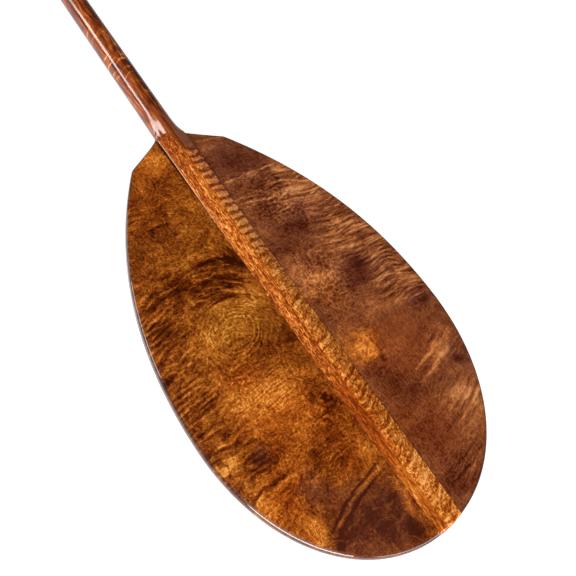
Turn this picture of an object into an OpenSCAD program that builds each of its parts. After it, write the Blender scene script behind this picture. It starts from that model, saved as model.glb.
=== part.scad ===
// Single-blade wooden steering paddle for an outrigger canoe.
// The blade lies flat: its power face is the plane z = 0, its ribbed face looks up.
// The origin is the middle of the power face, halfway between throat and tip, and +X points at the tip.
// The shaft leaves the throat towards -X and rises a little, by the bend angle. +Y is the right side.

/* [Blade] */
// Length of the blade from throat to tip
blade_length = 454; // [400:1:500]
// Greatest width of the blade
blade_width = 305; // [260:1:330]
// Distance from the throat to the widest place
widest_at = 274; // [250:1:300]
// Half-width at which each straight shoulder edge ends in its corner
shoulder_half = 56; // [48:1:66]
// How far below the throat that corner lies
shoulder_drop = 14.7; // [8:0.1:24]
// Lean of the shoulder edge, millimetres of length for each millimetre of width
shoulder_lean = 0.515; // [0.3:0.005:0.7]
// Length cut from each side of the shoulder corner to round it
shoulder_round = 2.5; // [2:0.5:8]
// How far each wing's root is faired up the shaft
root_cove = 1.5; // [0:0.1:3]
// Angle at which the cheek leaves the shoulder corner
cheek_angle = 39.9; // [30:0.1:48]
// How far the cheek keeps that angle
cheek_reach = 101; // [70:1:115]
// How far the straight flank runs above the widest place
flank_reach = 100; // [70:1:115]
// How far the straight flank runs below the widest place
belly_reach = 101.5; // [70:0.5:115]
// How broad the tip is, as the reach of its flat end
tip_reach = 89; // [60:1:105]

/* [Blade section] */
// Thickness of the blade at its rim
rim_thickness = 10; // [9:0.5:13]
// Extra thickness of each wing between rim and spine
wing_crown = 1.2; // [0:0.1:2]
// Radius of the rounded rim at the shoulders, on the ribbed face
rim_round_shoulder = 2.6; // [1.5:0.1:4]
// Radius of the rounded rim at the tip, on the ribbed face
rim_round_tip = 5; // [2:0.1:5]

/* [Spine] */
// Width of the spine between its two glue lines
spine_width = 32; // [28:1:36]
// Height of the spine's side above the rim at the throat
spine_step_throat = 3.4; // [2:0.1:5]
// Height of the spine's side above the rim further down
spine_step = 0.9; // [0.7:0.1:2]
// Distance from the throat over which that step fades
step_fade = 140; // [80:5:200]
// Rise of the ridge above the spine's sides at the throat
ridge_throat = 7.2; // [5:0.1:9]
// Rise of the ridge at the tip
ridge_tip = 1; // [0.4:0.1:2]
// How far the underside of the shaft fades into the power face
heel_fade = 95; // [60:5:130]

/* [Shaft] */
// Diameter of the shaft at the throat
throat_d = 25.7; // [24:0.1:27]
// Diameter of the long parallel part of the shaft
shaft_d = 23; // [21:0.1:24]
// Diameter of the shaft where it meets the grip
neck_d = 21.6; // [20:0.1:22.5]
// Length of the taper below the parallel part
taper_length = 240; // [180:5:300]
// Length of the parallel part
parallel_length = 540; // [400:10:640]
// Length of the taper above the parallel part
neck_length = 70; // [50:5:100]
// Angle between shaft and blade
bend = 2.5; // [0:0.1:4]
// Height of the shaft's centreline over the power face at the throat
axis_height = 7.75; // [7:0.05:9]
// Depth of the long facet planed on the upper left side of the flare
facet_depth = 1.28; // [0:0.02:1.6]

/* [Grip] */
// Width of the T grip across the shaft
grip_width = 114; // [100:1:130]
// Height of the grip along the shaft
grip_height = 34; // [30:1:38]
// Depth of the grip from front to back
grip_depth = 30; // [27:0.5:33]
// Diameter of the tenon through the grip
tenon_d = 16; // [14:0.5:18]
// Diameter of the cross pin
pin_d = 6; // [5:0.5:6.5]
// Depth of the wedged saw kerf in the tenon
kerf_depth = 14; // [10:0.5:15]
// Thickness of the wedge at its outer end
wedge_t = 2.4; // [1.6:0.1:3]

/* [Splines] */
// Thickness of the loose tongue in each glue line
spline_t = 4; // [3:0.5:5]
// Width of the tongue across the glue line
spline_w = 16; // [12:1:18]
// Distance from the throat to the near end of each tongue
spline_start = 26; // [22:1:60]
// Distance from the throat to the far end of each tongue
spline_end = 424; // [300:1:424]

/* [Hidden] */
$fn = 64;

glue_gap = 0.05;      // left for each glue line
slot_gap = 0.1;       // around each spline
tenon_gap = 0.1;      // on the diameter of the tenon's hole and wedge
pin_gap = 0.04;       // on the diameter of the pin's hole
throat_x = -blade_length / 2;
half_spine = spine_width / 2;
throat_r = throat_d / 2;
shaft_r = shaft_d / 2;
taper_rate = (throat_r - shaft_r) / taper_length;

// Distances up the shaft from the throat
flare_top = 40;       // the flare into the spine begins
ramp_top = 22;        // its steeper part begins
crease = 4;           // the spine reaches its full width
flare_overlap = 8;    // how far the round shaft runs down into the flare
grip_at = taper_length + parallel_length + neck_length;
pin_at = grip_at + 10;

// Below, x is measured from the throat towards the tip; up is measured from it up the shaft.
function smooth(t) = let (u = max(0, min(1, t))) u * u * (3 - 2 * u);
function mix(from, to, share) = from + (to - from) * share;
function unit(v) = v / norm(v);
function bezier(a, b, c, d, t) =
    pow(1 - t, 3) * a + 3 * pow(1 - t, 2) * t * b + 3 * (1 - t) * t * t * c + t * t * t * d;
function raise(point, z) = [point.x, point.y, z];

// A closed skin over rings that all have the same number of points
module skin(rings) {
    size = len(rings[0]);
    end = (len(rings) - 1) * size;   // first point of the last ring
    polyhedron(
        points = [for (ring = rings) each ring],
        faces = concat(
            [for (i = [0 : size : end - size]) for (j = [0 : size - 1])
                let (k = (j + 1) % size, next = i + size)
                each [[i + j, next + j, next + k], [i + j, next + k, i + k]]],
            [for (j = [0 : size - 3]) [size - 1, j, j + 1]],
            [for (j = [0 : size - 3]) [end + size - 1, end + j + 1, end + j]]),
        convexity = 6);
}

// ---- Half outline of the blade as [x, y]: shoulder, corner, cheek, and belly down to the tip
shoulder_ys = [8, 16, 19, 23, 30];
cove_fade = 5;
corner_step = 0.25;
cheek_steps = 13;
belly_steps = 20;
corner = [shoulder_drop, shoulder_half];
shoulder_dir = unit([shoulder_lean, 1]);
cheek_dir = [cos(cheek_angle), sin(cheek_angle)];
shoulder_to = corner - shoulder_round * shoulder_dir;
cheek_from = corner + shoulder_round * cheek_dir;
widest = [widest_at, blade_width / 2];
function shoulder_x(y) = shoulder_drop - shoulder_lean * (shoulder_half - y)
                         - root_cove * exp(-max(0, y - half_spine) / cove_fade);
outline = concat(
    [for (y = shoulder_ys) [shoulder_x(y), y]],
    [for (t = [0 : corner_step : 1])
        (1 - t) * (1 - t) * shoulder_to + 2 * t * (1 - t) * corner + t * t * cheek_from],
    [for (i = [1 : cheek_steps])
        bezier(cheek_from, cheek_from + (cheek_reach - shoulder_round) * cheek_dir,
               widest - [flank_reach, 0], widest, i / cheek_steps)],
    [for (i = [1 : belly_steps])
        bezier(widest, widest + [belly_reach, 0],
               [blade_length, tip_reach], [blade_length, 0], i / belly_steps)]);
last = len(outline) - 1;
function tangent(i) = i == 0 ? shoulder_dir
                    : i == last ? [0, -1]
                    : unit(outline[i + 1] - outline[i - 1]);
function outward(i) = let (along = tangent(i)) [-along.y, along.x];

// Radius of the rounded rim on the ribbed face, and on the power face
function top_round(x) = mix(rim_round_shoulder, rim_round_tip, smooth(x / blade_length));
function low_round(x) = 0.7 * top_round(x);

// Foot of each rib on the centreline; the first rib stands square to the shoulder edge
first_foot = outline[0].x + outline[0].y / shoulder_lean;
last_foot = blade_length - 14;
function foot(i) = [mix(first_foot, last_foot,
                        (outline[i].x - outline[0].x) / (outline[last].x - outline[0].x)), 0];

// Height of the ribbed face at a share of the way from foot to rim
function wing_top(share) =
    rim_thickness + wing_crown * 4 * share * (1 - share) * (1 - share / 3);

// One rib of the blade: out along the ribbed face, round the rim and back at the power face
function rib(i) = let (edge = outline[i], out = outward(i), start = foot(i),
                       top = top_round(edge.x), low = low_round(edge.x))
    concat(
        [for (share = [0, 0.15, 0.35, 0.6, 0.82, 1])
            raise(mix(start, edge - out * top, share), wing_top(share))],
        [for (a = [22.5 : 22.5 : 90])
            raise(edge - out * top * (1 - sin(a)), rim_thickness - top * (1 - cos(a)))],
        [for (a = [0 : 30 : 90]) raise(edge - out * low * (1 - cos(a)), low * (1 - sin(a)))],
        [raise(start, 0)]);

// ---- Wings and splines, made on the right and mirrored to the left
module spline(gap = 0) {
    translate([throat_x + spline_start - gap,
               half_spine - spline_w / 2 - gap,
               rim_thickness / 2 - spline_t / 2 - gap])
        cube([spline_end - spline_start + 2 * gap, spline_w + 2 * gap, spline_t + 2 * gap]);
}

// A board from the glue line to the rim
module wing() {
    margin = 60;
    difference() {
        intersection() {
            translate([throat_x, 0, 0]) skin([for (i = [0 : last]) rib(i)]);
            translate([throat_x - margin, half_spine + glue_gap, -5])
                cube([blade_length + 2 * margin, blade_width, 60]);
        }
        spline(slot_gap);
    }
}

module blade_wing_right() {
    color([0.40, 0.19, 0.09]) wing();
}

module blade_wing_left() {
    color([0.60, 0.33, 0.11]) mirror([0, 1, 0]) wing();
}

module spline_right() {
    color([0.78, 0.60, 0.38]) spline();
}

module spline_left() {
    color([0.78, 0.60, 0.38]) mirror([0, 1, 0]) spline();
}

// ---- Spine: the flat continuation of the shaft through the blade
tip_step = 0.4;                      // height of the spine's side above the rim at the tip
crest_soft = 0.28;                   // how softly the ridge is rounded over
crest_edge = sqrt(1 + crest_soft * crest_soft);
heel = throat_r - axis_height;       // how far the shaft hangs below the power face at the throat

function side_z(x) = rim_thickness
    + mix(spine_step_throat, spine_step, smooth((x + crease) / step_fade))
    - (spine_step - tip_step) * smooth((x - blade_length + 120) / 110);
function ridge(x) =
    mix(ridge_throat, ridge_tip, pow(max(0, min(1, (x + crease) / blade_length)), 0.8));
// Profile of the ridge, from 1 on the centreline to 0 at the spine's side
function crest(side) =
    (crest_edge - sqrt(side * side + crest_soft * crest_soft)) / (crest_edge - crest_soft);
function heel_z(x) = -heel * (1 - smooth((x + crease) / heel_fade));

// Sections are 24 points [y, z], from the right over the top (0 to 12) and back underneath
function spine_section(x) = concat(
    [for (j = [0 : 12]) let (y = half_spine * cos(15 * j))
        [y, side_z(x) + ridge(x) * crest(abs(y) / half_spine)]],
    [[-half_spine, side_z(x) / 2]],
    [for (j = [0 : 8]) let (y = -half_spine * cos(22.5 * j))
        [y, heel_z(x) * (1 - y * y / half_spine / half_spine)]],
    [[half_spine, side_z(x) / 2]]);
function round_section(r) = [for (j = [0 : 23]) [r * cos(15 * j), axis_height + r * sin(15 * j)]];

// How far a ring has turned from the round shaft into the spine: the top opens slowly, then as
// a ramp down to the crease, and the underside only where the wings' roots hide it
function top_share(up) =
    0.25 * pow(max(0, flare_top - up) / (flare_top - crease), 2)
    + 0.75 * pow(max(0, ramp_top - up) / (ramp_top - crease), 1.7);
function low_share(up) = smooth((10 - up) / 2.8);

// Facet on the flare's upper left side: a leaning plane that fades in down the shaft and out
// again at the crease. planed() is the height it takes off a point at (y, z).
facet_lean = 46;
facet_share = 0.86;                  // part of the wood above the plane that is taken off
facet_limit = 1.8;                   // greatest height above the plane that counts
facet_z = axis_height + (throat_r - facet_depth) / cos(facet_lean);   // plane's height at y = 0
function planed(up, y, z) = y >= 0 ? 0
    : facet_share * smooth((36 - up) / 18) * smooth((up - 3.5) / 4)
      * max(0, min(facet_limit, z - facet_z - tan(facet_lean) * y));

// A ring of the flare; its 24 sides stand just outside the round shaft
function flare_ring(up) = let (
        shaft = round_section((throat_r - taper_rate * up + 0.05) / cos(7.5)),
        spine = spine_section(-crease))
    [for (j = [0 : 23]) let (
            point = mix(shaft[j], spine[j], j < 13 ? top_share(up) : low_share(up)),
            y = point[0],
            z = point[1] - planed(up, y, point[1]) - axis_height)
        [-up * cos(bend) + z * sin(bend), y, axis_height + up * sin(bend) + z * cos(bend)]];

// Near the tip the rings bow back to follow the curvature of the outline's end
tip_bow = 2 / 3 * (blade_length - widest_at - belly_reach) / tip_reach / tip_reach / 2;
function bow(x, y) = tip_bow * y * y * smooth((x - blade_length + 70) / 60);
function spine_ring(x) = [for (p = spine_section(x)) [x - bow(x, p[0]), p[0], p[1]]];

// A ring of the rounded rim at the tip, angle from 0 at the flat to 90 at the outermost line
function tip_ring(angle) = let (top = top_round(blade_length), low = low_round(blade_length),
                                section = spine_section(blade_length), drop = 1 - cos(angle))
    [for (j = [0 : 23]) let (
            y = section[j][0],
            z = section[j][1],
            on_top = j < 13,
            below = j > 13 && j < 23,
            radius = on_top ? top : below ? low : (top + low) / 2)
        [blade_length - radius * (1 - sin(angle)) - bow(blade_length, y), y,
         on_top ? z - top * drop
         : below ? low * drop
         : mix(z, low + (z * 2 - top - low) / 2, drop)]];

// Places of the rings: up the shaft, along the spine (then scaled to the blade), round the tip
flare_stations = [flare_top, 33, 27, ramp_top, 18, 14, 10, 8.6, 7.2, crease];
spine_stations = [1, 8, 16, 26, 38, 52, 68, 86, 106, 130, 156, 184, 214, 246, 280, 314, 346,
                  374, 398, 418, 434, 444];
station_scale = (blade_length - 10) / 444;
spine_rings = concat(
    [for (up = flare_stations) flare_ring(up)],
    [for (x = spine_stations) spine_ring(x * station_scale)],
    [for (angle = [0 : 30 : 90]) tip_ring(angle)]);

// ---- Shaft
// Places its children along the shaft: local z runs up the shaft from the throat, local x is up
module on_shaft(up = 0) {
    translate([throat_x, 0, axis_height]) rotate([0, bend - 90, 0]) translate([0, 0, up])
        children();
}

// Tapered saw cut across the tenon's end, open at the top of the grip
module kerf(gap = 0) {
    half_bottom = 0.4 + gap;
    half_top = wedge_t / 2 + gap;
    translate([0, 0, grip_at + grip_height]) rotate([90, 0, 90])
        translate([0, 0, -tenon_d / 2 - 1]) linear_extrude(height = tenon_d + 2)
            polygon([[-half_bottom, -kerf_depth - gap], [half_bottom, -kerf_depth - gap],
                     [half_top, gap * 20], [-half_top, gap * 20]]);
}

module cross_pin(length, diameter) {
    translate([0, 0, pin_at]) rotate([0, 90, 0])
        cylinder(h = length, d = diameter, center = true);
}

module pin_hole() {
    cross_pin(60, pin_d + pin_gap);
}

module shaft_spine() {
    round_from = flare_top - flare_overlap;
    color([0.66, 0.34, 0.13]) difference() {
        union() {
            translate([throat_x, 0, 0]) skin(spine_rings);
            on_shaft(round_from)
                cylinder(h = taper_length - round_from,
                         r1 = throat_r - taper_rate * round_from, r2 = shaft_r);
            on_shaft(taper_length) cylinder(h = parallel_length, r = shaft_r);
            on_shaft(taper_length + parallel_length)
                cylinder(h = neck_length, r1 = shaft_r, r2 = neck_d / 2);
            on_shaft(grip_at - 1) cylinder(h = grip_height + 1, d = tenon_d);
        }
        spline(slot_gap);
        mirror([0, 1, 0]) spline(slot_gap);
        on_shaft() kerf(glue_gap);
        on_shaft() pin_hole();
    }
}

// ---- T grip
// Stations across the grip, as shares of its half-width
grip_half_stations = [0.1, 0.22, 0.32, 0.42, 0.54, 0.66, 0.78, 0.88, 0.95, 0.985, 1];
grip_stations = concat([for (i = [10 : -1 : 0]) -grip_half_stations[i]], [0], grip_half_stations);
grip_power = 2.4;                    // squareness of the grip's section, 2 being an ellipse

// A ring of the grip: the top is crowned, the underside drops to the shaft in the middle
function grip_ring(station) = let (
        y = station * grip_width / 2,
        rounding = max(0.12, sqrt(max(0, 1 - pow(abs(station), 5)))),
        top = grip_at + grip_height - 5 * station * station,
        low = grip_at - 1 + 9 * smooth((abs(y) - 12) / 22),
        half_depth = grip_depth / 2 * rounding * (1 - 0.06 * smooth((abs(y) - 14) / 24)),
        half_height = (top - low) / 2 * rounding)
    [for (j = [0 : 23]) let (
            x = cos(15 * j),
            z = sin(15 * j),
            swell = pow(pow(abs(x), grip_power) + pow(abs(z), grip_power), -1 / grip_power))
        [half_depth * swell * x, y, (top + low) / 2 + half_height * swell * z]];

module t_grip() {
    color([0.42, 0.20, 0.09]) on_shaft() difference() {
        skin([for (station = grip_stations) grip_ring(station)]);
        // flat seat on the shaft's shoulder
        translate([0, 0, grip_at - 8]) cylinder(h = 8 + glue_gap, r = 30);
        translate([0, 0, grip_at - 10]) cylinder(h = grip_height + 20, d = tenon_d + tenon_gap);
        pin_hole();
    }
}

module grip_pin() {
    color([0.80, 0.62, 0.40]) on_shaft() cross_pin(grip_depth - 0.3, pin_d);
}

module tenon_wedge() {
    color([0.85, 0.70, 0.48]) on_shaft() intersection() {
        kerf();
        translate([0, 0, grip_at]) cylinder(h = grip_height, d = tenon_d - tenon_gap);
    }
}

shaft_spine();
blade_wing_left();
blade_wing_right();
spline_left();
spline_right();
t_grip();
grip_pin();
tenon_wedge();
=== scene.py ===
"""A wooden canoe paddle lying face up on a pale floor.

The blade is two curly boards (the wings) joined to a central spine, which runs on as a round
shaft to a carved T-grip. The blade's middle is at the origin: the tip points to +x, the grip
to -x, and z is up. Left is -y and right is +y, as seen from the tip looking to the grip.
Geometry is worked out in mm and made in metres.
"""
import bpy, bmesh, math
import numpy as np
from mathutils import Matrix, Vector


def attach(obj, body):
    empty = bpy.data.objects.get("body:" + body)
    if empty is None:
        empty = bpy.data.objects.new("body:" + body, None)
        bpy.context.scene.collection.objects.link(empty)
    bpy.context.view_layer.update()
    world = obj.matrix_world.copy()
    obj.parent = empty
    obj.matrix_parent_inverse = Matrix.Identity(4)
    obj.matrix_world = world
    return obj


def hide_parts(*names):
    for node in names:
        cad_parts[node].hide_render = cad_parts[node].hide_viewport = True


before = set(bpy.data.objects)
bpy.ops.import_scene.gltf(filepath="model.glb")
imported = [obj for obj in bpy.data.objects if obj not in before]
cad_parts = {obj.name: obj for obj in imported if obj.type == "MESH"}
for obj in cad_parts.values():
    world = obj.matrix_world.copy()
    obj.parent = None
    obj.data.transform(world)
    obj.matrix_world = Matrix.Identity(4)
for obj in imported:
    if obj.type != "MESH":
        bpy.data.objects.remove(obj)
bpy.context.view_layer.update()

MM = 0.001
scene = bpy.context.scene

# ---------------------------------------------------------------- dimensions, mm
# Blade outline: x from the throat, where the shaft meets the blade, and y from the middle
BLADE_L, BLADE_HALF = 454.0, 152.5
WIDEST_X = 274.0
SHOULDER_X, SHOULDER_Y = 14.7, 56.0         # shoulder corner
SHOULDER_LEAN, SHOULDER_ROUND = 0.515, 2.5  # dx/dy of the shoulder, cut-back of its corner
CHEEK_ANGLE = math.radians(39.9)            # direction in which the edge leaves the shoulder
CHEEK_PULL, FLANK_PULL = 101.0, 100.0       # Bezier handles, shoulder to widest
BELLY_PULL, TIP_PULL = 101.5, 89.0          # Bezier handles, widest to tip
ROOT_COVE = 1.5                             # hollow of the shoulder beside the spine
# Blade section
RIM, CROWN = 10.0, 1.2                      # height at the rim, extra height inside it
SHOULDER_EDGE_R, TIP_EDGE_R = 2.6, 5.0      # rounding of the upper edge
BOTTOM_SHARE = 0.7                          # lower edge rounding as a share of the upper
# Spine; each pair is at the throat and towards the tip
SPINE_HALF, FILLET_R = 16.0, 0.7
STEP_ROOT, STEP_TIP, STEP_FADE = 3.4, 0.9, 140.0
RIDGE_ROOT, RIDGE_TIP, CREST_ROUND = 7.2, 1.0, 0.28
HEEL_FADE = 95.0
# Shaft, by distance up the shaft from the throat
THROAT_R, PARALLEL_R, NECK_R = 12.85, 11.5, 10.8
TAPER, PARALLEL, NECK = 240.0, 540.0, 70.0
BEND, AXIS_Z = math.radians(2.5), 7.75      # rise of the shaft, height of its axis at the throat
ROOT_S, FLARE_S, LOFT_S = 4.0, 22.0, 40.0   # where the round shaft blends to the spine section
FACET_Z, FACET_RATE, FACET_CUT = 24.405, 1.0355, 1.8
# Grip and its joint
GRIP_W, GRIP_H, GRIP_D = 114.0, 34.0, 30.0
TENON_R, PIN_R, PIN_S, KERF_D, WEDGE_T = 8.0, 3.0, 10.0, 14.0, 2.4
# Splines between wings and spine
SPLINE_X0, SPLINE_X1, SPLINE_W, SPLINE_T, SLOT_GAP = 26.0, 424.0, 16.0, 4.0, 0.1

NECK_S = TAPER + PARALLEL
GRIP_S = NECK_S + NECK
THROAT_X = -BLADE_L / 2
TAPER_RATE = (THROAT_R - PARALLEL_R) / TAPER
HEEL = THROAT_R - AXIS_Z                    # how far the shaft hangs below the blade's back
TIP_BOW = 2 / 3 * (BLADE_L - WIDEST_X - BELLY_PULL) / TIP_PULL / TIP_PULL / 2


# ---------------------------------------------------------------- helpers
def smooth(t):
    t = np.clip(t, 0.0, 1.0)
    return t * t * (3 - 2 * t)


def mix(a, b, t):
    return a + (b - a) * t


def unit(vector):
    vector = np.asarray(vector, float)
    return vector / np.linalg.norm(vector)


def bezier(a, b, c, d, t):
    return (1 - t) ** 3 * a + 3 * (1 - t) ** 2 * t * b + 3 * (1 - t) * t * t * c + t ** 3 * d


def new_mesh(name, verts, faces, smooth_shade=True):
    mesh = bpy.data.meshes.new(name)
    mesh.from_pydata([tuple(v) for v in verts], [], faces)
    mesh.validate()
    ob = bpy.data.objects.new(name, mesh)
    scene.collection.objects.link(ob)
    if smooth_shade:
        mesh.polygons.foreach_set("use_smooth", [True] * len(mesh.polygons))
    return ob


def skin_faces(rings, size):
    """Quads between rings of `size` points, then the two end caps."""
    faces = []
    for i in range(rings - 1):
        for j in range(size):
            k = (j + 1) % size
            faces.append((i * size + j, (i + 1) * size + j, (i + 1) * size + k, i * size + k))
    faces.append(tuple(range(size)))
    faces.append(tuple(range(rings * size - 1, (rings - 1) * size - 1, -1)))
    return faces


def outward(ob):
    bm = bmesh.new()
    bm.from_mesh(ob.data)
    bmesh.ops.recalc_face_normals(bm, faces=bm.faces)
    bm.to_mesh(ob.data)
    bm.free()


def loft(name, rings, smooth_shade=True, caps_first=False):
    """Closed body through rings of points in mm."""
    faces = skin_faces(len(rings), len(rings[0]))
    if caps_first:
        faces = faces[-2:] + faces[:-2]
    ob = new_mesh(name, np.concatenate(rings) * MM, faces, smooth_shade)
    outward(ob)
    return ob


def cut(ob, cutters):
    """Exact boolean cut by each cutter, applied to the mesh."""
    bpy.context.view_layer.update()
    for cutter in cutters:
        mod = ob.modifiers.new("cut", "BOOLEAN")
        mod.operation, mod.solver, mod.object = "DIFFERENCE", "EXACT", cutter
    depsgraph = bpy.context.evaluated_depsgraph_get()
    mesh = bpy.data.meshes.new_from_object(ob.evaluated_get(depsgraph))
    ob.modifiers.clear()
    old = ob.data
    ob.data = mesh
    mesh.name = old.name + "_cut"
    bpy.data.meshes.remove(old)


# ---------------------------------------------------------------- wings
def blade_outline():
    """Right half of the outline (x, y), from the spine round to the tip."""
    corner = np.array([SHOULDER_X, SHOULDER_Y])
    cheek_dir = np.array([math.cos(CHEEK_ANGLE), math.sin(CHEEK_ANGLE)])
    cheek = corner + SHOULDER_ROUND * cheek_dir
    widest = np.array([WIDEST_X, BLADE_HALF])
    shoulder = corner - SHOULDER_ROUND * SHOULDER_DIR
    ys = np.r_[np.linspace(8, 15, 4), np.linspace(SPINE_HALF, 30, 18),
               np.linspace(30, shoulder[1], 15)[1:-1]]
    pts = [np.array([SHOULDER_X - SHOULDER_LEAN * (SHOULDER_Y - y)
                     - ROOT_COVE * math.exp(-max(0, y - SPINE_HALF) / 5), y]) for y in ys]
    pts += [(1 - t) ** 2 * shoulder + 2 * t * (1 - t) * corner + t * t * cheek
            for t in np.linspace(0, 1, 9)]
    pts += [bezier(cheek, cheek + (CHEEK_PULL - SHOULDER_ROUND) * cheek_dir,
                   widest - [FLANK_PULL, 0], widest, t) for t in np.linspace(0, 1, 92)[1:]]
    pts += [bezier(widest, widest + [BELLY_PULL, 0], np.array([BLADE_L, TIP_PULL]),
                   np.array([BLADE_L, 0.0]), t) for t in np.linspace(0, 1, 134)[1:]]
    return np.array(pts)


SHOULDER_DIR = unit([SHOULDER_LEAN, 1])
OUTLINE = blade_outline()
TANGENTS = np.gradient(OUTLINE, axis=0)
TANGENTS[0], TANGENTS[-1] = SHOULDER_DIR, (0, -1)
TANGENTS /= np.linalg.norm(TANGENTS, axis=1)[:, None]
NORMALS = np.stack([-TANGENTS[:, 1], TANGENTS[:, 0]], 1)


def inset(distance):
    """The outline moved in by a distance per point."""
    return OUTLINE - NORMALS * distance[:, None]


def planed(x, y, seed):
    """Hand-planed unevenness of a board, in mm: a few long waves."""
    rng = np.random.default_rng(seed)
    z = np.zeros_like(x)
    for _ in range(9):
        kx, ky = rng.normal(0, 1 / 26.0), rng.normal(0, 1 / 26.0)
        z += rng.normal(0, 1) * np.sin(kx * x + ky * y + rng.uniform(0, 6.28)) * 0.022
    return z


def make_wing(name, side, seed):
    """One wing, built on the right and mirrored when side is -1."""
    count = len(OUTLINE)
    top_r = mix(SHOULDER_EDGE_R, TIP_EDGE_R, smooth(OUTLINE[:, 0] / BLADE_L))
    low_r = BOTTOM_SHARE * top_r
    start, end = OUTLINE[0], OUTLINE[-1]
    root_foot = start[0] + start[1] * (-NORMALS[0, 0]) / NORMALS[0, 1]
    foot = np.zeros((count, 2))             # points on the middle line facing the outline
    foot[:, 0] = mix(root_foot, BLADE_L - 14, (OUTLINE[:, 0] - start[0]) / (end[0] - start[0]))
    cols = []
    for t in np.r_[np.linspace(0, 0.9, 40), np.linspace(0.92, 1, 8)]:
        pts = mix(foot, inset(top_r), t)
        height = RIM + CROWN * 4 * t * (1 - t) * (1 - t / 3)
        uneven = planed(pts[:, 0], pts[:, 1], seed) * smooth((1 - t) * 9)
        cols.append(np.c_[pts, np.full(count, height) + uneven])
    for a in np.radians(np.linspace(0, 90, 13)[1:]):
        cols.append(np.c_[inset(top_r * (1 - math.sin(a))), RIM - top_r * (1 - math.cos(a))])
    for a in np.radians(np.linspace(0, 90, 10)):
        cols.append(np.c_[inset(low_r * (1 - math.cos(a))), low_r * (1 - math.sin(a))])
    for t in (0.75, 0.5, 0.25, 0):
        cols.append(np.c_[mix(foot, inset(low_r), t), np.zeros(count)])
    grid = np.stack(cols, 1)                # station, around, xyz
    grid[..., 0] += THROAT_X
    ob = new_mesh(name, grid.reshape(-1, 3) * MM, skin_faces(count, grid.shape[1]))

    # trim the wing flat where it meets the spine
    bm = bmesh.new()
    bm.from_mesh(ob.data)
    bmesh.ops.recalc_face_normals(bm, faces=bm.faces)
    trimmed = bmesh.ops.bisect_plane(
        bm, geom=bm.verts[:] + bm.edges[:] + bm.faces[:], dist=1e-7,
        plane_co=(0, (SPINE_HALF + 0.03) * MM, 0), plane_no=(0, 1, 0), clear_inner=True)
    edges = [e for e in trimmed["geom_cut"] if isinstance(e, bmesh.types.BMEdge)]
    bmesh.ops.contextual_create(bm, geom=edges)
    bmesh.ops.recalc_face_normals(bm, faces=bm.faces)
    if side < 0:
        bmesh.ops.scale(bm, vec=(1, -1, 1), verts=bm.verts)
        bmesh.ops.reverse_faces(bm, faces=bm.faces)
    bm.to_mesh(ob.data)
    bm.free()
    return ob


def spline_slot(name, side):
    """Box cutter for the slot shared by a wing and the spine."""
    reach = SPLINE_W / 2
    xs = (THROAT_X + SPLINE_X0 - SLOT_GAP, THROAT_X + SPLINE_X1 + SLOT_GAP)
    ys = sorted(side * y for y in (SPINE_HALF - reach - SLOT_GAP, SPINE_HALF + reach + SLOT_GAP))
    zs = (RIM / 2 - SPLINE_T / 2 - SLOT_GAP, RIM / 2 + SPLINE_T / 2 + SLOT_GAP)
    verts = [(x * MM, y * MM, z * MM) for x in xs for y in ys for z in zs]
    faces = [(0, 1, 3, 2), (4, 6, 7, 5), (0, 4, 5, 1), (2, 3, 7, 6), (0, 2, 6, 4), (1, 5, 7, 3)]
    ob = new_mesh(name, verts, faces, False)
    outward(ob)
    return ob


# ---------------------------------------------------------------- shaft and spine
N_FLANK, N_FILLET, N_SIDE, N_BOTTOM = 22, 5, 7, 30
N_RIGHT = N_FLANK + N_FILLET + N_SIDE


def side_z(x):
    """Height of the spine's upper arris."""
    return (RIM + mix(STEP_ROOT, STEP_TIP, smooth((x + ROOT_S) / STEP_FADE))
            - (STEP_TIP - 0.4) * smooth((x - BLADE_L + 120) / 110))


def ridge(x):
    return mix(RIDGE_ROOT, RIDGE_TIP, np.clip((x + ROOT_S) / BLADE_L, 0, 1) ** 0.8)


def crest(t):
    """Ridge profile: 1 in the middle, 0 at the side, rounded at the top."""
    edge = math.sqrt(1 + CREST_ROUND * CREST_ROUND)
    return (edge - np.sqrt(t * t + CREST_ROUND * CREST_ROUND)) / (edge - CREST_ROUND)


def spine_section(x):
    """Loop of (y, z): crest, down the right side, across the back, up the left side."""
    side, height = float(side_z(x)), float(ridge(x))
    flat = SPINE_HALF - FILLET_R
    across = flat * np.linspace(0, 1, N_FLANK)
    flank = np.c_[across, side + height * crest(across / SPINE_HALF)]
    fillet = [(flat + FILLET_R * math.sin(a), flank[-1, 1] - FILLET_R * (1 - math.cos(a)) * 0.9)
              for a in np.radians(np.linspace(15, 90, N_FILLET))]
    wall = [(SPINE_HALF, z) for z in np.linspace(fillet[-1][1], 0.0, N_SIDE + 1)[1:]]
    right = np.array(list(flank) + fillet + wall)
    back_y = SPINE_HALF * np.cos(np.linspace(0, math.pi, N_BOTTOM + 2))[1:-1]
    heel_z = float(-HEEL * (1 - smooth((x + ROOT_S) / HEEL_FADE)))
    back = np.c_[back_y, heel_z * (1 - (back_y / SPINE_HALF) ** 2)]
    left = right[::-1][:-1].copy()
    left[:, 0] *= -1
    return np.r_[right, back, left]


def section_angles():
    """Angle round the shaft, in degrees, of each point of the spine section."""
    right = np.r_[np.linspace(90, 14, N_FLANK), np.linspace(12, 4, N_FILLET),
                  np.linspace(1, -34, N_SIDE)]
    back = np.linspace(-34, -146, N_BOTTOM + 2)[1:-1]
    return np.r_[right, back, 180 - right[::-1][:-1]]


ANGLES = section_angles()


def circle(r):
    a = np.radians(ANGLES)
    return np.c_[r * np.cos(a), AXIS_Z + r * np.sin(a)]


def on_shaft(up, across, s):
    """Points in mm from the offsets off the shaft's axis and the distance s up the shaft."""
    x = -s * math.cos(BEND) + up * math.sin(BEND) + THROAT_X
    z = AXIS_Z + s * math.sin(BEND) + up * math.cos(BEND)
    return np.stack(np.broadcast_arrays(x, across, z), 1)


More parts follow.
